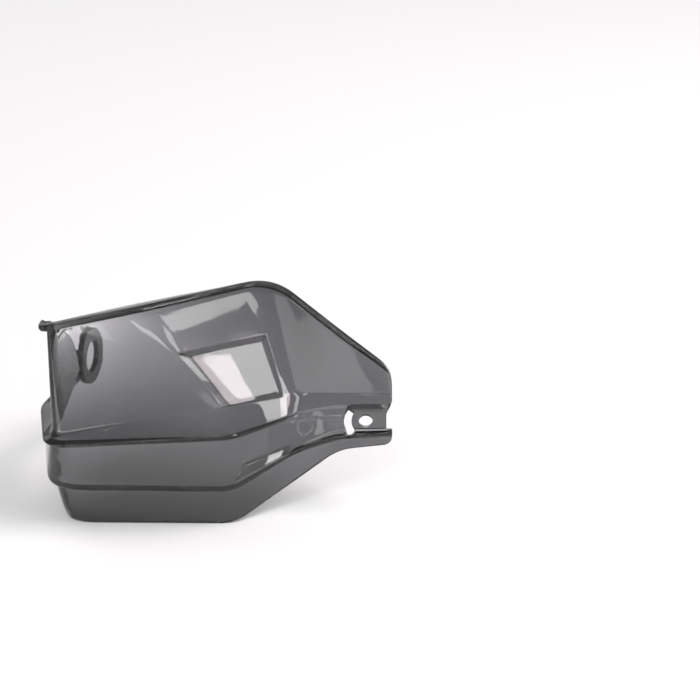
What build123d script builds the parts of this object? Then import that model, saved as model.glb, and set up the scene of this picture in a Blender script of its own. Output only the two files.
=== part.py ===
"""Motorcycle hand guard: one moulded shell of smoked clear plastic.

Frame: +Z up, +Y to the back of the guard, +X to the end of its tab, in millimetres.
The origin is the centre of the bolt hole, on the face of its seat.

The positions below are measured from the foremost bend of the chin, on the ground. They are moved
to the origin where the guide curves and the planes are made.

The shell is built from guide curves that run from the rear of the side wall round the outer corner
and along the front to the end of the tab. Ruled faces span from each guide curve to the next one below.
"""

import os
from math import cos, radians, sin

from build123d import *

# Wall of the moulding
WALL = 3.0

# Plan: the outer side, the elbow, the neck and the tab, measured from the foremost bend
SIDE_X = -112.0
SIDE_TOE_IN = 6.0
FLANK_Y = 46.0
FLANK_FLARE = 8.5
REAR_Y = 110.0
REAR_FLARE = 1.5
ELBOW_X = 38.0
ELBOW_Y = 27.5
NECK_X = 63.0
TAB_X = 95.5
TAB_Y = 28.5

# Top edge of the windshield panel
TOP_CORNER_X = -111.0
TOP_CORNER_Y = 28.0
TOP_CORNER_Z = 115.5
TOP_BEND_X = -57.0
TOP_BEND_Y = 53.0
TOP_BEND_Z = 118.0
TOP_APEX_X = 20.5
TOP_APEX_Y = 88.0
TOP_APEX_Z = 121.0
TOP_NECK_Y = 62.0
TOP_NECK_Z = 96.5
TOP_END_Y = 43.0
TOP_END_Z = 79.0

# Crease between the windshield panel and the first layer
CREASE_IN = 3.5
CREASE_BACK = 7.0
CREASE_SIDE_Z = 57.5
CREASE_BEND_X = -7.0
CREASE_BEND_Y = 7.5
CREASE_BEND_Z = 76.5
CREASE_ELBOW_X = 35.0
CREASE_ELBOW_Y = 40.0
CREASE_ELBOW_Z = 68.5
CREASE_END_Y = 40.0
CREASE_END_Z = 69.0

# First ledge, which dies out as two soft creases above the tab
LEDGE_1_CORNER_Z = 53.0
LEDGE_1_FLANK_Z = 56.5
LEDGE_1_BEND_Z = 58.5
LEDGE_1_ELBOW_Z = 60.5
LEDGE_1_TAB_Z = 64.0
LEDGE_1_TAB_IN = 2.5
LEDGE_1_STEP = 4.2
LEDGE_1_DROP = 3.0
LEDGE_1_END_STEP = 0.6
TAB_ROOT_DROP = 6.0

# Second ledge, which runs on as the lip below the tab
LEDGE_2_IN = 1.5
LEDGE_2_CORNER_Z = 24.5
LEDGE_2_BEND_Z = 23.5
LEDGE_2_ELBOW_Z = 39.5
LEDGE_2_NECK_Z = 47.0
LEDGE_2_TAB_Z = 47.5
LEDGE_2_ELBOW_OUT = 9.0
LEDGE_2_NECK_OUT = 6.5
LEDGE_2_TAB_OUT = 4.0
LEDGE_2_STEP = 4.0
LEDGE_2_ELBOW_STEP = 6.0
LEDGE_2_DROP = 3.2

# Bottom edge of the chin
CHIN_IN = 10.0
CHIN_BACK = 2.5
CHIN_BEND_BACK = 1.0
CHIN_ELBOW_Y = 20.0
CHIN_ELBOW_Z = 20.0
CHIN_NECK_Z = 36.5
CHIN_TAB_Z = 39.5
CHIN_NECK_OUT = 1.5

# Lip along the top edge, turned outward and ending in a round rim
LIP_REACH = 3.5
LIP_SIDE_REACH = 2.6
LIP_RISE = 0.6
LIP_APEX_OUT = 0.6
LIP_APEX_REACH = 2.3
LIP_APEX_RISE = 0.8
LIP_END_REACH = 2.2
RIM_RADIUS = 2.2
RIM_TUCK = 40.0
RIM_STEPS = 7

# Width that each rounded edge takes from the faces beside it
LIP_EDGE = 0.8
CREASE_EDGE = 2.0
RIDGE_EDGE = 1.8
ROOT_EDGE = 0.9

# Straight length that each rounded bend takes from the guide curves beside it
FLANK_RUN = 7.0
CORNER_RUN = 11.0
LEDGE_2_CORNER_RUN = 18.0
CHIN_CORNER_RUN = 18.0
CORNER_PANEL_RUN = 9.0
BEND_RUN = 9.0
ELBOW_RUN = 10.0
APEX_RUN = 18.0
NECK_RUN = 9.0

# Raised facet on the windshield panel, between the bend and the elbow
FACET_FOOT = -1.0
FACET_FOOT_RISE = 0.6
FACET_HEAD_RISE = 3.6
FACET_SINK = 1.0
FACET_BEVEL_BEND = 3.5
FACET_BEVEL_HEAD = 5.5
FACET_BEVEL_ELBOW = 5.5
FACET_HEAD_AT_BEND = 37.5
FACET_HEAD_AT_ELBOW = 34.5
FACET_FOOT_FROM_BEND = 7.0
FACET_HEAD_FROM_BEND = 5.0
FACET_FOOT_FROM_ELBOW = 9.0
FACET_HEAD_FROM_ELBOW = 15.0

# Low raised strip on the second layer, between the bend and the elbow
STRIP_RISE = 0.9
STRIP_SINK = 0.8
STRIP_BEVEL = 1.2
STRIP_FOOT_AT_BEND = 6.0
STRIP_FOOT_AT_ELBOW = 2.0
STRIP_HEAD_AT_BEND = 13.0
STRIP_HEAD_AT_ELBOW = 6.0
STRIP_FOOT_FROM_BEND = 3.0
STRIP_HEAD_FROM_BEND = 8.0
STRIP_FROM_ELBOW = 5.0

# Round mark of a moulding pin on the second layer, between the elbow and the neck
MARK_ALONG = 0.18
MARK_DOWN = 0.43
MARK_RADIUS = 4.8
MARK_WIDTH = 0.7
MARK_DEPTH = 0.2

# Side wall: its outline seen from the side, with the lug that carries the bar-end ring
WALL_TOP_Y = 35.0
WALL_TOP_Z = 112.0
WALL_CORNER_Y = 81.0
WALL_CORNER_Z = 89.5
WALL_ROUND = 8.0
LUG_TOP_Y = 93.0
LUG_TOP_Z = 64.0
LUG_END_Y = 104.0
LUG_END_Z = 43.0
LUG_LOW_Y = 58.0
LUG_LOW_Z = 48.0
LUG_ROUND = 20.0
TOE_Y = 9.0
SIDE_CLEAR = 1.5
RING_X = -94.5
RING_Y = 114.0
RING_Z = 54.5
RING_TOE_IN = 15.0
RING_OUTER = 37.0
RING_BORE = 21.0
RING_LENGTH = 3.2

# Tab: the bolt hole, its flat round seat, the curved slot beside it and the notched end
HOLE_X = 79.5
HOLE_Z = 54.5
HOLE_BORE = 8.5
SEAT_RADIUS = 14.0
SEAT_LOW_Z = 49.0
SEAT_HIGH_Z = 65.0
SEAT_DEPTH = 0.6
SEAT_LENGTH = 3.2
FLAT_LOW_Z = 51.0
FLAT_SHARE = 0.75
SLOT_INNER = 8.6
SLOT_OUTER = 13.2
SLOT_START = 142.0
SLOT_SWEEP = 80.0
NOTCH_DEPTH = 3.5
NOTCH_LOW_Z = 49.0
NOTCH_HIGH_Z = 60.0
NOTCH_TOP_Z = 66.0
END_ROUND_RUN = 12.0
LIP_ROUND_RUN = 5.0

# Guide curves of the outer face, each with a point at the rear of the side wall, on the flank,
# at the outer corner, the bend, the elbow, the neck and the end of the tab
wall_x = SIDE_X + CREASE_IN
wall_slope = SIDE_TOE_IN / REAR_Y
flank_x = SIDE_X - FLANK_FLARE
rear_x = wall_x + SIDE_TOE_IN


def rear(out, z):
    """Point at the rear of the side wall, some way out from the wall's plane."""
    return Vector(rear_x - out, REAR_Y, z)


top = [
    Vector(TOP_CORNER_X + SIDE_TOE_IN, REAR_Y, TOP_CORNER_Z),
    Vector(TOP_CORNER_X + wall_slope * FLANK_Y, FLANK_Y, TOP_CORNER_Z),
    Vector(TOP_CORNER_X, TOP_CORNER_Y, TOP_CORNER_Z),
    Vector(TOP_BEND_X, TOP_BEND_Y, TOP_BEND_Z),
    Vector(TOP_APEX_X, TOP_APEX_Y, TOP_APEX_Z),
    Vector(NECK_X, TOP_NECK_Y, TOP_NECK_Z),
    Vector(TAB_X, TOP_END_Y, TOP_END_Z),
]
crease = [
    rear(0, CREASE_SIDE_Z),
    Vector(wall_x + wall_slope * FLANK_Y, FLANK_Y, CREASE_SIDE_Z),
    Vector(wall_x, CREASE_BACK, CREASE_SIDE_Z),
    Vector(CREASE_BEND_X, CREASE_BEND_Y, CREASE_BEND_Z),
    Vector(CREASE_ELBOW_X, CREASE_ELBOW_Y, CREASE_ELBOW_Z),
    Vector(NECK_X, CREASE_END_Y, CREASE_END_Z),
    Vector(TAB_X, CREASE_END_Y, CREASE_END_Z),
]
ridge_1 = [
    rear(REAR_FLARE, LEDGE_1_CORNER_Z),
    Vector(flank_x, FLANK_Y, LEDGE_1_FLANK_Z),
    Vector(SIDE_X, 0, LEDGE_1_CORNER_Z),
    Vector(0, 0, LEDGE_1_BEND_Z),
    Vector(ELBOW_X, ELBOW_Y, LEDGE_1_ELBOW_Z),
    Vector(NECK_X, TAB_Y + LEDGE_1_TAB_IN, LEDGE_1_TAB_Z),
    Vector(TAB_X, TAB_Y + LEDGE_1_TAB_IN, LEDGE_1_TAB_Z),
]
root_1 = [
    rear(0, LEDGE_1_CORNER_Z - LEDGE_1_DROP),
    ridge_1[1] + Vector(LEDGE_1_STEP, 0, -LEDGE_1_DROP),
    ridge_1[2] + Vector(LEDGE_1_STEP, LEDGE_1_STEP, -LEDGE_1_DROP),
    ridge_1[3] + Vector(0, LEDGE_1_STEP, -LEDGE_1_DROP),
    ridge_1[4] + Vector(0, LEDGE_1_END_STEP, -LEDGE_1_DROP),
    Vector(NECK_X, TAB_Y, LEDGE_1_TAB_Z - TAB_ROOT_DROP),
    Vector(TAB_X, TAB_Y, LEDGE_1_TAB_Z - TAB_ROOT_DROP),
]
ridge_2 = [
    rear(REAR_FLARE, LEDGE_2_CORNER_Z),
    Vector(flank_x + LEDGE_2_IN, FLANK_Y, LEDGE_2_CORNER_Z),
    Vector(SIDE_X + LEDGE_2_IN, 0, LEDGE_2_CORNER_Z),
    Vector(0, 0, LEDGE_2_BEND_Z),
    Vector(ELBOW_X, ELBOW_Y - LEDGE_2_ELBOW_OUT, LEDGE_2_ELBOW_Z),
    Vector(NECK_X, TAB_Y - LEDGE_2_NECK_OUT, LEDGE_2_NECK_Z),
    Vector(TAB_X, TAB_Y - LEDGE_2_TAB_OUT, LEDGE_2_TAB_Z),
]
flat_low = [high + (low - high) * FLAT_SHARE for high, low in zip(root_1[:5], ridge_2[:5])]
flat_low += [Vector(NECK_X, TAB_Y, FLAT_LOW_Z), Vector(TAB_X, TAB_Y, FLAT_LOW_Z)]
root_2 = [
    rear(0, LEDGE_2_CORNER_Z - LEDGE_2_DROP),
    ridge_2[1] + Vector(LEDGE_2_STEP, 0, -LEDGE_2_DROP),
    ridge_2[2] + Vector(LEDGE_2_STEP, LEDGE_2_STEP, -LEDGE_2_DROP),
    ridge_2[3] + Vector(0, LEDGE_2_STEP, -LEDGE_2_DROP),
    ridge_2[4] + Vector(0, LEDGE_2_ELBOW_STEP, -LEDGE_2_DROP),
    ridge_2[5] + Vector(0, LEDGE_2_STEP, -LEDGE_2_DROP),
    ridge_2[6] + Vector(0, LEDGE_2_STEP, -LEDGE_2_DROP),
]
chin = [
    rear(0, 0),
    Vector(flank_x + CHIN_IN, FLANK_Y, 0),
    Vector(SIDE_X + CHIN_IN, CHIN_BACK, 0),
    Vector(0, CHIN_BEND_BACK, 0),
    Vector(ELBOW_X, CHIN_ELBOW_Y, CHIN_ELBOW_Z),
    Vector(NECK_X, TAB_Y - CHIN_NECK_OUT, CHIN_NECK_Z),
    Vector(TAB_X, TAB_Y, CHIN_TAB_Z),
]
lip = [
    top[0] + Vector(-LIP_SIDE_REACH, 0, LIP_RISE),
    top[1] + Vector(-LIP_SIDE_REACH, 0, LIP_RISE),
    top[2] + Vector(-LIP_SIDE_REACH, -LIP_SIDE_REACH, LIP_RISE),
    top[3] + Vector(LIP_REACH / 2, -LIP_REACH, LIP_RISE),
    top[4] + Vector(LIP_APEX_OUT, -LIP_APEX_REACH, LIP_APEX_RISE),
    top[5] + Vector(LIP_APEX_OUT, -LIP_APEX_REACH, LIP_APEX_RISE),
    top[6] + Vector(0, -LIP_END_REACH, LIP_END_REACH),
]
origin = Vector(HOLE_X, TAB_Y + SEAT_DEPTH, HOLE_Z)
drawn = [lip, top, crease, ridge_1, root_1, flat_low, ridge_2, root_2, chin]
drawn = [[point - origin for point in points] for points in drawn]
runs = [(FLANK_RUN, CORNER_PANEL_RUN, BEND_RUN, APEX_RUN, NECK_RUN)] * 2
runs += [(FLANK_RUN, CORNER_PANEL_RUN, BEND_RUN, ELBOW_RUN, NECK_RUN)]
runs += [(FLANK_RUN, CORNER_RUN, BEND_RUN, ELBOW_RUN, NECK_RUN)] * 2
runs += [(FLANK_RUN, LEDGE_2_CORNER_RUN, BEND_RUN, ELBOW_RUN, NECK_RUN)] * 3
runs += [(FLANK_RUN, CHIN_CORNER_RUN, BEND_RUN, ELBOW_RUN, NECK_RUN)]
edges = [LIP_EDGE, CREASE_EDGE, RIDGE_EDGE, ROOT_EDGE, ROOT_EDGE, RIDGE_EDGE, ROOT_EDGE]
last_curve = len(drawn) - 1
last_point = len(top) - 1


def outward(upper, lower, k):
    """Outward normal of the strip between two guide curves, on the stretch from point k to the next."""
    along = upper[k + 1] + lower[k + 1] - upper[k] - lower[k]
    down = lower[k] + lower[k + 1] - upper[k] - upper[k + 1]
    return down.cross(along).normalized()


def inset(j, k):
    """Point of the inner face behind point k of guide curve j, one wall in from the strips beside it."""
    strips = [a for a in (j - 1, j) if 0 <= a < last_curve]
    stretches = [b for b in (k - 1, k) if 0 <= b < last_point]
    normals = [outward(drawn[a], drawn[a + 1], b) for a in strips for b in stretches]
    mean = sum(normals, Vector(0, 0, 0)).normalized()
    share = sum(mean.dot(normal) for normal in normals) / len(normals)
    shift = mean * (-WALL / share)
    if k == 0:
        shift = Vector(shift.X, 0, shift.Z)
    if k == last_point:
        shift = Vector(0, shift.Y, shift.Z)
    if j == last_curve:
        shift = Vector(shift.X, shift.Y, 0)
    return drawn[j][k] + shift


def guide_edges(points, guide, run):
    """Edges along a guide curve: straight stretches, with a tangent curve in each bend.

    The inner curves follow the outer guide, so that their bends start and end square behind its bends.
    """
    edges = []
    start = points[0]
    with BuildLine():
        for k in range(1, last_point):
            ahead = (guide[k] - guide[k - 1]).normalized() * run[k - 1]
            beyond = (guide[k + 1] - guide[k]).normalized() * run[k - 1]
            into = (points[k] - points[k - 1]).normalized()
            away = (points[k + 1] - points[k]).normalized()
            enter = points[k] - into * (points[k] - guide[k] + ahead).dot(into)
            leave = points[k] + away * (guide[k] + beyond - points[k]).dot(away)
            edges.append(Line(start, enter))
            edges.append(Bezier(enter, points[k], leave))
            start = leave
        edges.append(Line(start, points[last_point]))
    return edges


def strip(upper, lower):
    """Ruled faces between two rows of edges."""
    return [Face.make_surface_from_curves(a, b) for a, b in zip(upper, lower)]


def quad(a, b, c, d):
    """Ruled face with four corners, given in order round it."""
    return Face.make_surface_from_curves(Edge.make_line(a, b), Edge.make_line(d, c))


def rounded(above, curve, below, edge):
    """Three guide curves in place of one, which round off the edge along it."""
    upper = [p + (a - p).normalized() * edge for a, p in zip(above, curve)]
    lower = [p + (b - p).normalized() * edge for b, p in zip(below, curve)]
    middle = [(u + p * 2 + b) * 0.25 for u, p, b in zip(upper, curve, lower)]
    return [upper, middle, lower]


def rim_curve(angle):
    """Guide curve along the round rim of the lip, at an angle round it from the outer face."""
    points = []
    for out, back, root in zip(drawn[0], inner[0], drawn[1]):
        up = (out - back).normalized()
        ahead = (out - root - up * (out - root).dot(up)).normalized()
        turned = up * cos(radians(angle)) + ahead * sin(radians(angle))
        points.append((out + back) * 0.5 + turned * RIM_RADIUS)
    return points


def end_cap(k):
    """Flat face that closes the wall at one end of the guide curves."""
    outline = [points[k] for points in outer] + [points[k] for points in reversed(inner[1:])]
    return Face(Wire.make_polygon(outline))


inner = [[inset(j, k) for k in range(last_point + 1)] for j in range(last_curve + 1)]
rim_turn = (180 + RIM_TUCK * 2) / RIM_STEPS
outer = [rim_curve(180 + RIM_TUCK - n * rim_turn) for n in range(RIM_STEPS + 1)]
outer_runs = [runs[0]] * (RIM_STEPS + 1)
for j, edge in enumerate(edges, start=1):
    outer += rounded(drawn[j - 1], drawn[j], drawn[j + 1], edge)
    outer_runs += [runs[j]] * 3
outer.append(drawn[last_curve])
outer_runs.append(runs[last_curve])
outer_edges = [guide_edges(points, points, run) for points, run in zip(outer, outer_runs)]
inner_edges = [guide_edges(points, guide, run) for points, guide, run in zip(inner, drawn, runs)]

shell_faces = []
for rows in (outer_edges, inner_edges[1:]):
    for upper_row, lower_row in zip(rows, rows[1:]):
        shell_faces += strip(upper_row, lower_row)
shell_faces += strip(outer_edges[0], inner_edges[1])
shell_faces += strip(outer_edges[-1], inner_edges[-1])
shell_faces += [end_cap(0), end_cap(last_point)]


def flat_point(low, high, heights, gap, from_bend):
    """Point on the flat stretch of a strip, on a line across it at two heights above its lower guide curve.

    The heights are those at the bend and at the elbow. The gap is measured along the line, from the bend
    or else from the elbow.
    """
    at_bend = low[0] + (high[0] - low[0]).normalized() * heights[0]
    at_elbow = low[1] + (high[1] - low[1]).normalized() * heights[1]
    across = (at_elbow - at_bend).normalized()
    return at_bend + across * gap if from_bend else at_elbow - across * gap


def raised_faces(upper, lower, foot, head, gaps, bevels, rises, sink, behind=0):
    """Closed faces of a raised facet between the bend and the elbow, and between two of the guide curves.

    The foot and the head are heights at the bend and at the elbow. The gaps are those at the foot and
    the head from the bend, and then from the elbow. The bevels are those of its foot, head, bend side
    and elbow side. The rises are those of its foot and its head. The whole may lie some way behind.
    """
    high = upper[3:5]
    low = lower[3:5]
    normal = outward(high, low, 0)
    loops = []
    for grow, lifts in ((0, rises), (1 + sink / max(rises), (-sink, -sink))):
        foot_line = [height - grow * bevels[0] for height in foot]
        head_line = [height + grow * bevels[1] for height in head]
        foot_shift = normal * (lifts[0] - behind)
        head_shift = normal * (lifts[1] - behind)
        loops.append([
            flat_point(low, high, foot_line, gaps[0] - grow * bevels[2], True) + foot_shift,
            flat_point(low, high, foot_line, gaps[2] - grow * bevels[3], False) + foot_shift,
            flat_point(low, high, head_line, gaps[3] - grow * bevels[3], False) + head_shift,
            flat_point(low, high, head_line, gaps[1] - grow * bevels[2], True) + head_shift,
        ])
    faces = [quad(*loops[0]), quad(*loops[1])]
    for n in range(4):
        m = (n + 1) % 4
        faces.append(quad(loops[0][n], loops[0][m], loops[1][m], loops[1][n]))
    return faces


facet = {
    "upper": drawn[1],
    "lower": drawn[2],
    "head": (FACET_HEAD_AT_BEND, FACET_HEAD_AT_ELBOW),
    "gaps": (FACET_FOOT_FROM_BEND, FACET_HEAD_FROM_BEND, FACET_FOOT_FROM_ELBOW, FACET_HEAD_FROM_ELBOW),
    "bevels": (0, FACET_BEVEL_HEAD, FACET_BEVEL_BEND, FACET_BEVEL_ELBOW),
    "rises": (FACET_FOOT_RISE, FACET_HEAD_RISE),
    "sink": FACET_SINK,
}
facet_faces = raised_faces(foot=(FACET_FOOT, FACET_FOOT), **facet)
hollow_faces = raised_faces(foot=(WALL, WALL), behind=WALL, **facet)
strip_faces = raised_faces(
    upper=drawn[4],
    lower=drawn[6],
    foot=(STRIP_FOOT_AT_BEND, STRIP_FOOT_AT_ELBOW),
    head=(STRIP_HEAD_AT_BEND, STRIP_HEAD_AT_ELBOW),
    gaps=(STRIP_FOOT_FROM_BEND, STRIP_HEAD_FROM_BEND, STRIP_FROM_ELBOW, STRIP_FROM_ELBOW),
    bevels=(STRIP_BEVEL, STRIP_BEVEL, STRIP_BEVEL, STRIP_BEVEL),
    rises=(STRIP_RISE, STRIP_RISE),
    sink=STRIP_SINK,
)

# Planes that the features are drawn on
mark_top = drawn[4][4] + (drawn[4][5] - drawn[4][4]) * MARK_ALONG
mark_low = drawn[5][4] + (drawn[5][5] - drawn[5][4]) * MARK_ALONG
mark_normal = outward(drawn[4], drawn[5], 4)
mark_plane = Plane(
    origin=mark_top + (mark_low - mark_top) * MARK_DOWN - mark_normal * MARK_DEPTH,
    z_dir=mark_normal,
)
side_depth = wall_x - flank_x + WALL * 4
side_plane = Plane(
    origin=Vector(wall_x + WALL + SIDE_CLEAR, 0, 0) - origin,
    x_dir=(SIDE_TOE_IN, REAR_Y, 0),
    z_dir=(REAR_Y, -SIDE_TOE_IN, 0),
)
toe_plane = Plane(
    origin=Vector(SIDE_X + CHIN_IN + CHIN_CORNER_RUN + WALL, 0, 0) - origin,
    x_dir=(0, 1, 0),
    z_dir=(1, 0, 0),
)
ring_plane = Plane(
    origin=Vector(RING_X, RING_Y, RING_Z) - origin,
    x_dir=(0, 0, 1),
    z_dir=Vector(1, 0, 0).rotate(Axis.Z, -RING_TOE_IN),
)
tab_plane = Plane(origin=Vector(0, TAB_Y, 0) - origin, x_dir=(1, 0, 0), z_dir=(0, -1, 0))
rim_neck = (drawn[0][5] + inner[0][5]) * 0.5 + origin
rim_end = (drawn[0][6] + inner[0][6]) * 0.5 + origin
end_slope = Vector(rim_neck.X - rim_end.X, rim_neck.Z - rim_end.Z).normalized()
rim_top = Vector(rim_end.X + end_slope.Y * RIM_RADIUS, rim_end.Z - end_slope.X * RIM_RADIUS)
end_corner = rim_top + end_slope * ((TAB_X - rim_top.X) / end_slope.X)
end_start = end_corner + end_slope * END_ROUND_RUN
end_stop = end_corner - Vector(0, END_ROUND_RUN)
low_corner = Vector(chin[6].X, chin[6].Z)
low_slope = Vector(chin[5].X - chin[6].X, chin[5].Z - chin[6].Z).normalized()
low_start = low_corner + low_slope * LIP_ROUND_RUN
low_stop = low_corner + Vector(0, LIP_ROUND_RUN)

with BuildPart() as guard:
    add(Solid(Shell(shell_faces)))
    add(Solid(Shell(facet_faces)))
    add(Solid(Shell(hollow_faces)), mode=Mode.SUBTRACT)
    add(Solid(Shell(strip_faces)))

    # Side wall trimmed behind and above its outline, with the lug for the ring
    with BuildSketch(side_plane):
        with BuildLine():
            FilletPolyline(
                (WALL_TOP_Y, 2 * TOP_CORNER_Z),
                (WALL_TOP_Y, WALL_TOP_Z),
                (WALL_CORNER_Y, WALL_CORNER_Z),
                (LUG_TOP_Y, LUG_TOP_Z),
                (LUG_END_Y, LUG_TOP_Z),
                (LUG_END_Y, 0),
                (2 * REAR_Y, 0),
                (2 * REAR_Y, 2 * TOP_CORNER_Z),
                radius=[0, 0, WALL_ROUND, WALL_ROUND, 0, 0, 0, 0],
                close=True,
            )
        make_face()
    extrude(amount=-side_depth, mode=Mode.SUBTRACT)

    # Side wall trimmed below, from the toe of the chin up to the lug
    with BuildSketch(toe_plane):
        with BuildLine():
            FilletPolyline(
                (TOE_Y, 0),
                (LUG_LOW_Y, LUG_LOW_Z),
                (LUG_END_Y, LUG_END_Z),
                (2 * REAR_Y, LUG_END_Z),
                (2 * REAR_Y, -WALL),
                (TOE_Y, -WALL),
                radius=[0, LUG_ROUND, 0, 0, 0, 0],
                close=True,
            )
        make_face()
    extrude(amount=-side_depth * 2, mode=Mode.SUBTRACT)

    # Ring at the end of the lug, bored for the bar end
    with BuildSketch(ring_plane):
        Circle(RING_OUTER / 2)
    extrude(amount=-RING_LENGTH)
    with BuildSketch(ring_plane):
        Circle(RING_BORE / 2)
    extrude(amount=RING_LENGTH * 3, both=True, mode=Mode.SUBTRACT)

    # Mark of the moulding pin, a shallow groove
    with BuildSketch(mark_plane):
        Circle(MARK_RADIUS)
        Circle(MARK_RADIUS - MARK_WIDTH, mode=Mode.SUBTRACT)
    extrude(amount=WALL, mode=Mode.SUBTRACT)

    # Seat of the bolt: a round boss with a level top and bottom, faced flat in front
    with BuildSketch(tab_plane.offset(-SEAT_DEPTH)) as seat:
        with Locations((HOLE_X, HOLE_Z)):
            Circle(SEAT_RADIUS)
        with Locations((HOLE_X, (SEAT_LOW_Z + SEAT_HIGH_Z) / 2)):
            Rectangle(SEAT_RADIUS * 2, SEAT_HIGH_Z - SEAT_LOW_Z, mode=Mode.INTERSECT)
    extrude(amount=-SEAT_LENGTH)
    extrude(seat.sketch, amount=TAB_Y, mode=Mode.SUBTRACT)

    # Bolt hole and the curved slot beside it
    with BuildSketch(tab_plane):
        with Locations((HOLE_X, HOLE_Z)):
            Circle(HOLE_BORE / 2)
        with BuildLine():
            slot_in = CenterArc((HOLE_X, HOLE_Z), SLOT_INNER, SLOT_START, SLOT_SWEEP)
            slot_out = CenterArc((HOLE_X, HOLE_Z), SLOT_OUTER, SLOT_START, SLOT_SWEEP)
            Line(slot_in @ 0, slot_out @ 0)
            Line(slot_in @ 1, slot_out @ 1)
        make_face()
    extrude(amount=TAB_Y, both=True, mode=Mode.SUBTRACT)

    # Notched end of the tab, with the ends of the top edge and of the lower lip rounded off
    with BuildSketch(tab_plane):
        with BuildLine():
            Polyline(
                (TAB_X + WALL, NOTCH_LOW_Z),
                (TAB_X - NOTCH_DEPTH, NOTCH_LOW_Z),
                (TAB_X - NOTCH_DEPTH, NOTCH_HIGH_Z),
                (TAB_X, NOTCH_TOP_Z),
                (TAB_X + WALL, NOTCH_TOP_Z),
                close=True,
            )
        make_face()
        with BuildLine():
            TangentArc(end_start, end_stop, tangent=-end_slope)
            Polyline(
                end_stop,
                (TAB_X + WALL, end_stop.Y),
                (TAB_X + WALL, end_start.Y + WALL * 2),
                (end_start.X, end_start.Y + WALL * 2),
                end_start,
            )
        make_face()
        with BuildLine():
            TangentArc(low_start, low_stop, tangent=-low_slope)
            Polyline(
                low_stop,
                (TAB_X + WALL, low_stop.Y),
                (TAB_X + WALL, low_start.Y - WALL),
                (low_start.X, low_start.Y - WALL),
                low_start,
            )
        make_face()
    extrude(amount=TAB_Y * 2, both=True, mode=Mode.SUBTRACT)

guard.part.label = "hand_guard"
os.makedirs("parts", exist_ok=True)
export_step(guard.part, "parts/hand_guard.step")
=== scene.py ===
"""Smoked hand guard on a pale floor, in soft studio light.

The guard is the CAD node, shown as it is. This file adds its plastic, a floor, lamps, a room and a camera.
Lengths are in metres unless a name ends in _mm. Angles are in degrees and lamp powers in watts.
"""

import logging
import math
from dataclasses import dataclass, field
from typing import Any

import bpy
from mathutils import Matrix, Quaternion, Vector


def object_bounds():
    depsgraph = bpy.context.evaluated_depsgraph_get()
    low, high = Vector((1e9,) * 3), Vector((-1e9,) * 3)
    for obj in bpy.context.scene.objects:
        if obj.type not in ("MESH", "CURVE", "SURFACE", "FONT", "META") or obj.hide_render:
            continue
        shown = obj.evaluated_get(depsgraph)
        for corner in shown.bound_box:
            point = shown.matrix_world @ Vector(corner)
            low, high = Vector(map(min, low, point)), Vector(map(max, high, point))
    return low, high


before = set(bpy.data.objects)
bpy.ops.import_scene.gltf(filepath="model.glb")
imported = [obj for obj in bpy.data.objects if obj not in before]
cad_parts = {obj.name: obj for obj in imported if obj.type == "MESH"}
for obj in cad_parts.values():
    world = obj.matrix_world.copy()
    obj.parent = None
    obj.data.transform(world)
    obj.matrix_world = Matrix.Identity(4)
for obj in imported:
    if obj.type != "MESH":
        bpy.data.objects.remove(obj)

LOG = logging.getLogger("hand_guard")
MM = 0.001
CAD_BOX = [list(corner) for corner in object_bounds()]


def linear(hex_colour: str) -> tuple[float, float, float, float]:
    """Turn an sRGB hex value into the linear colour that shaders take, by the curve of the sRGB standard.

    Args:
        hex_colour: Six hex digits, with or without a leading hash.

    Returns:
        Linear red, green and blue, and a full alpha.
    """
    digits = hex_colour.lstrip("#")
    channels = []
    for start in (0, 2, 4):
        value = int(digits[start:start + 2], 16) / 255
        channels.append(value / 12.92 if value <= 0.04045 else ((value + 0.055) / 1.055) ** 2.4)
    return (channels[0], channels[1], channels[2], 1.0)


def add_node(tree: bpy.types.NodeTree, kind: str, settings: dict[str, Any] | None = None,
             inputs: dict[str | int, Any] | None = None) -> bpy.types.Node:
    """Add a node with its settings, its input values and its links.

    Args:
        tree: The node tree that takes the node.
        kind: Blender's name for the kind of node.
        settings: Values for the node's own properties.
        inputs: For each input socket, a value or an output socket to link from.

    Returns:
        The new node.
    """
    node = tree.nodes.new(kind)
    for name, value in (settings or {}).items():
        setattr(node, name, value)
    for name, value in (inputs or {}).items():
        if isinstance(value, bpy.types.NodeSocket):
            tree.links.new(value, node.inputs[name])
        else:
            node.inputs[name].default_value = value
    return node


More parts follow.
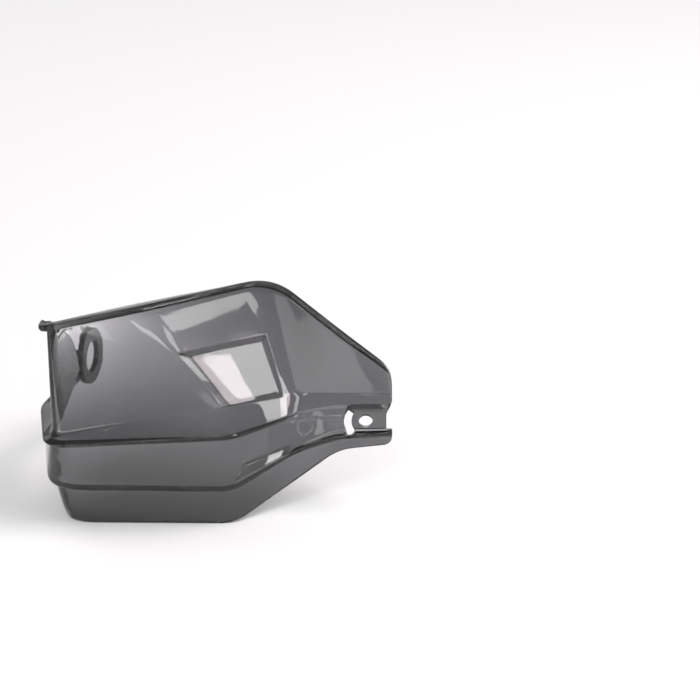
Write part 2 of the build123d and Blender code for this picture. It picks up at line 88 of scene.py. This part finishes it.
@dataclass(frozen=True)
class SmokedPolycarbonate:
    """Clear polycarbonate, tinted grey in the melt and injection moulded in a polished mould.

    The eye sees a glossy skin with long soft reflections and slightly softened edges, and a grey that deepens
    with the length of plastic that light has to cross, so that rims and steps seen along the wall turn dark.

    Attributes:
        name: The material's name.
        skin: The colour of the clear skin.
        tint: The colour of the plastic inside.
        ior: The index of refraction.
        tint_density: How fast light fades inside, per metre of plastic.
        polish: The roughness of the clean skin.
        haze: The roughness of a hazy patch.
        haze_scale_mm: The size of the hazy patches.
        haze_detail: How many finer layers the patches have.
        haze_start: The level of the pattern at which haze sets in.
        haze_full: The level of the pattern at which haze is full.
        flow_scale_mm: The length of the faint waves that the melt leaves in the skin.
        flow_detail: How many finer layers the waves have.
        flow_height_mm: The height of the waves.
        edge_mm: The radius of the softened edges.
        edge_samples: How many rays feel for an edge.
    """

    name: str = "smoked polycarbonate"
    skin: str = "#f4f4f6"
    tint: str = "#5e5f64"
    ior: float = 1.585
    tint_density: float = 690.0
    polish: float = 0.035
    haze: float = 0.09
    haze_scale_mm: float = 38.0
    haze_detail: float = 5.0
    haze_start: float = 0.45
    haze_full: float = 0.75
    flow_scale_mm: float = 24.0
    flow_detail: float = 1.0
    flow_height_mm: float = 0.006
    edge_mm: float = 1.6
    edge_samples: int = 8

    def build(self) -> bpy.types.Material:
        """Make the material.

        Returns:
            The material, with a glossy surface that is faintly waved and a tinted inside.
        """
        material = bpy.data.materials.new(self.name)
        material.use_nodes = True
        tree = material.node_tree
        tree.nodes.clear()
        place = add_node(tree, "ShaderNodeTexCoord")
        smudge = add_node(tree, "ShaderNodeTexNoise", {}, {
            "Vector": place.outputs["Object"], "Scale": 1 / (self.haze_scale_mm * MM),
            "Detail": self.haze_detail})
        polish = add_node(tree, "ShaderNodeMapRange", {}, {
            "Value": smudge.outputs["Fac"], "From Min": self.haze_start, "From Max": self.haze_full,
            "To Min": self.polish, "To Max": self.haze})
        flow = add_node(tree, "ShaderNodeTexNoise", {}, {
            "Vector": place.outputs["Object"], "Scale": 1 / (self.flow_scale_mm * MM),
            "Detail": self.flow_detail})
        edge = add_node(tree, "ShaderNodeBevel", {"samples": self.edge_samples}, {
            "Radius": self.edge_mm * MM})
        wave = add_node(tree, "ShaderNodeBump", {}, {
            "Height": flow.outputs["Fac"], "Strength": 1.0, "Distance": self.flow_height_mm * MM,
            "Normal": edge.outputs["Normal"]})
        surface = add_node(tree, "ShaderNodeBsdfPrincipled", {}, {
            "Base Color": linear(self.skin), "Roughness": polish.outputs["Result"], "IOR": self.ior,
            "Transmission Weight": 1.0, "Normal": wave.outputs["Normal"]})
        inside = add_node(tree, "ShaderNodeVolumeAbsorption", {}, {
            "Color": linear(self.tint), "Density": self.tint_density})
        add_node(tree, "ShaderNodeOutputMaterial", {}, {
            "Surface": surface.outputs[0], "Volume": inside.outputs[0]})
        return material


@dataclass(frozen=True)
class WhitePaper:
    """Matt white photographic paper, which is white in plain light and takes the soft shadow of the guard.

    Attributes:
        name: The material's name.
        colour: The colour of the paper.
    """

    name: str = "white paper"
    colour: str = "#fbfbfb"

    def build(self) -> bpy.types.Material:
        """Make the material.

        Returns:
            A matt surface in the colour of the paper.
        """
        material = bpy.data.materials.new(self.name)
        material.use_nodes = True
        tree = material.node_tree
        tree.nodes.clear()
        matt = add_node(tree, "ShaderNodeBsdfDiffuse", {}, {"Color": linear(self.colour)})
        add_node(tree, "ShaderNodeOutputMaterial", {}, {"Surface": matt.outputs[0]})
        return material


@dataclass
class Guard:
    """The moulded guard, which the CAD node shows as it is.

    Attributes:
        node: The name of the CAD node.
        slot: The name of the slot for the plastic. It is not used.
        plastic: The finish of the guard.
    """

    node: str = "hand_guard"
    slot: str = "smoked_plastic"
    plastic: SmokedPolycarbonate = field(default_factory=SmokedPolycarbonate)

    def dress(self) -> bpy.types.Object:
        """Give the CAD node its plastic.

        Returns:
            The node's object.
        """
        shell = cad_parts[self.node]
        shell.data.materials.clear()
        shell.data.materials.append(self.plastic.build())
        return shell


@dataclass
class Softbox:
    """A rectangular lamp that is aimed at the middle of the guard and that the camera doesn't see.

    Attributes:
        name: The lamp's name.
        azimuth: How far round the guard the lamp stands, from the front (-Y) towards the right (+X).
        elevation: How high the lamp stands over the guard's level.
        distance: How far the lamp is from the middle of the guard.
        width: The lamp's width.
        height: The lamp's height.
        power: The light that the lamp gives.
        roll: How far the lamp is turned about its own beam.
        colour: The colour of its light.
    """

    name: str
    azimuth: float
    elevation: float
    distance: float
    width: float
    height: float
    power: float
    roll: float = 0.0
    colour: str = "#ffffff"

    def direction(self) -> Vector:
        """Work out the way from the guard to the lamp.

        Returns:
            A vector of length 1.
        """
        azimuth = math.radians(self.azimuth)
        elevation = math.radians(self.elevation)
        level = Vector((math.sin(azimuth), -math.cos(azimuth), 0))
        return level * math.cos(elevation) + Vector((0, 0, math.sin(elevation)))

    def build(self, target: Vector) -> bpy.types.Object:
        """Make the lamp.

        Args:
            target: The point that the lamp is aimed at.

        Returns:
            The lamp's object.
        """
        data = bpy.data.lights.new(self.name, "AREA")
        data.shape = "RECTANGLE"
        data.size = self.width
        data.size_y = self.height
        data.energy = self.power
        data.color = linear(self.colour)[:3]
        lamp = bpy.data.objects.new(self.name, data)
        away = self.direction()
        lamp.location = target + away * self.distance
        turn = Quaternion((0, 0, 1), math.radians(self.roll))
        lamp.rotation_euler = (away.to_track_quat("Z", "Y") @ turn).to_euler()
        lamp.visible_camera = False
        bpy.context.scene.collection.objects.link(lamp)
        return lamp


@dataclass
class Studio:
    """The floor, the room, the lamps and the camera.

    Attributes:
        floor_size: The length of each side of the floor.
        wall_light: How bright the room is at the level of the guard, where 1 is white.
        ceiling_light: How bright the room is overhead.
        ceiling_rise: The sine of the elevation at which the walls have faded into the ceiling.
        lens_mm: The camera's focal length.
        sensor_mm: The width of the camera's sensor.
        camera_mm: Where the camera stands.
        camera_pitch: How far the camera is tilted up from looking straight down.
        paper: The finish of the floor.
        softboxes: The lamps.
    """

    floor_size: float = 12.0
    wall_light: float = 1.0
    ceiling_light: float = 0.55
    ceiling_rise: float = 0.5
    lens_mm: float = 96.48
    sensor_mm: float = 36.0
    camera_mm: tuple[float, float, float] = (-9.5, -1000.1, 537.5)
    camera_pitch: float = 63.94
    paper: WhitePaper = field(default_factory=WhitePaper)
    softboxes: tuple[Softbox, ...] = (
        Softbox("overhead strip", azimuth=71.0, elevation=67.6, distance=0.9,
                width=0.06, height=0.29, power=0.26, roll=-33.0),
        Softbox("overhead bar", azimuth=42.2, elevation=78.3, distance=0.93,
                width=0.10, height=0.035, power=0.05, roll=-10.0),
        Softbox("key softbox", azimuth=104.9, elevation=54.3, distance=2.03,
                width=0.80, height=0.78, power=14.0, roll=40.0, colour="#fff2f6"),
        Softbox("wide softbox", azimuth=85.9, elevation=47.6, distance=2.16,
                width=0.76, height=0.70, power=10.5, roll=-40.0),
        Softbox("back softbox", azimuth=-143.1, elevation=41.3, distance=2.5,
                width=1.8, height=1.8, power=11.0),
        Softbox("left card", azimuth=-40.0, elevation=28.0, distance=1.2,
                width=0.22, height=0.68, power=2.2, roll=-37.0),
        Softbox("side card", azimuth=23.8, elevation=52.2, distance=0.286,
                width=0.125, height=0.15, power=0.08, roll=25.0),
        Softbox("low card", azimuth=38.8, elevation=1.7, distance=0.9,
                width=0.12, height=0.16, power=0.6),
        Softbox("front strip", azimuth=-12.9, elevation=9.8, distance=1.5,
                width=2.4, height=0.20, power=3.6),
    )

    def build_floor(self) -> bpy.types.Object:
        """Lay the paper under the lowest point of the guard.

        Returns:
            The floor's object.
        """
        lowest = CAD_BOX[0][2]
        half = self.floor_size / 2
        corners = [(x, y, lowest) for x, y in ((-half, -half), (half, -half), (half, half), (-half, half))]
        mesh = bpy.data.meshes.new("floor")
        mesh.from_pydata(corners, [], [(0, 1, 2, 3)])
        mesh.materials.append(self.paper.build())
        floor = bpy.data.objects.new("floor", mesh)
        bpy.context.scene.collection.objects.link(floor)
        return floor

    def build_world(self) -> None:
        """Make a room with pale walls and a dimmer ceiling, which is the same to every ray."""
        world = bpy.data.worlds.new("studio")
        bpy.context.scene.world = world
        world.use_nodes = True
        tree = world.node_tree
        tree.nodes.clear()
        place = add_node(tree, "ShaderNodeTexCoord")
        split = add_node(tree, "ShaderNodeSeparateXYZ", {}, {0: place.outputs["Generated"]})
        light = add_node(tree, "ShaderNodeMapRange", {}, {
            "Value": split.outputs["Z"], "From Min": 0.0, "From Max": self.ceiling_rise,
            "To Min": self.wall_light, "To Max": self.ceiling_light})
        room = add_node(tree, "ShaderNodeBackground", {}, {"Strength": light.outputs["Result"]})
        add_node(tree, "ShaderNodeOutputWorld", {}, {"Surface": room.outputs[0]})

    def build_lamps(self) -> None:
        """Hang the softboxes round the guard."""
        low, high = (Vector(corner) for corner in CAD_BOX)
        middle = (low + high) / 2
        for softbox in self.softboxes:
            lamp = softbox.build(middle)
            LOG.info("lamp %s at %s", lamp.name, tuple(round(value, 3) for value in lamp.location))

    def build_camera(self) -> bpy.types.Object:
        """Set up the camera.

        Returns:
            The camera's object.
        """
        data = bpy.data.cameras.new("camera")
        data.lens = self.lens_mm
        data.sensor_width = self.sensor_mm
        camera = bpy.data.objects.new("camera", data)
        camera.location = Vector(self.camera_mm) * MM
        camera.rotation_euler = (math.radians(self.camera_pitch), 0, 0)
        bpy.context.scene.collection.objects.link(camera)
        bpy.context.scene.camera = camera
        return camera


def main() -> None:
    """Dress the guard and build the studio."""
    logging.basicConfig(level=logging.INFO, format="%(name)s: %(message)s")
    bpy.context.scene.view_settings.view_transform = "Standard"
    shell = Guard().dress()
    LOG.info("%s has %d faces", shell.name, len(shell.data.polygons))
    studio = Studio()
    floor = studio.build_floor()
    LOG.info("%s is %g m wide", floor.name, studio.floor_size)
    studio.build_world()
    studio.build_lamps()
    studio.build_camera()


if __name__ == "__main__":
    main()
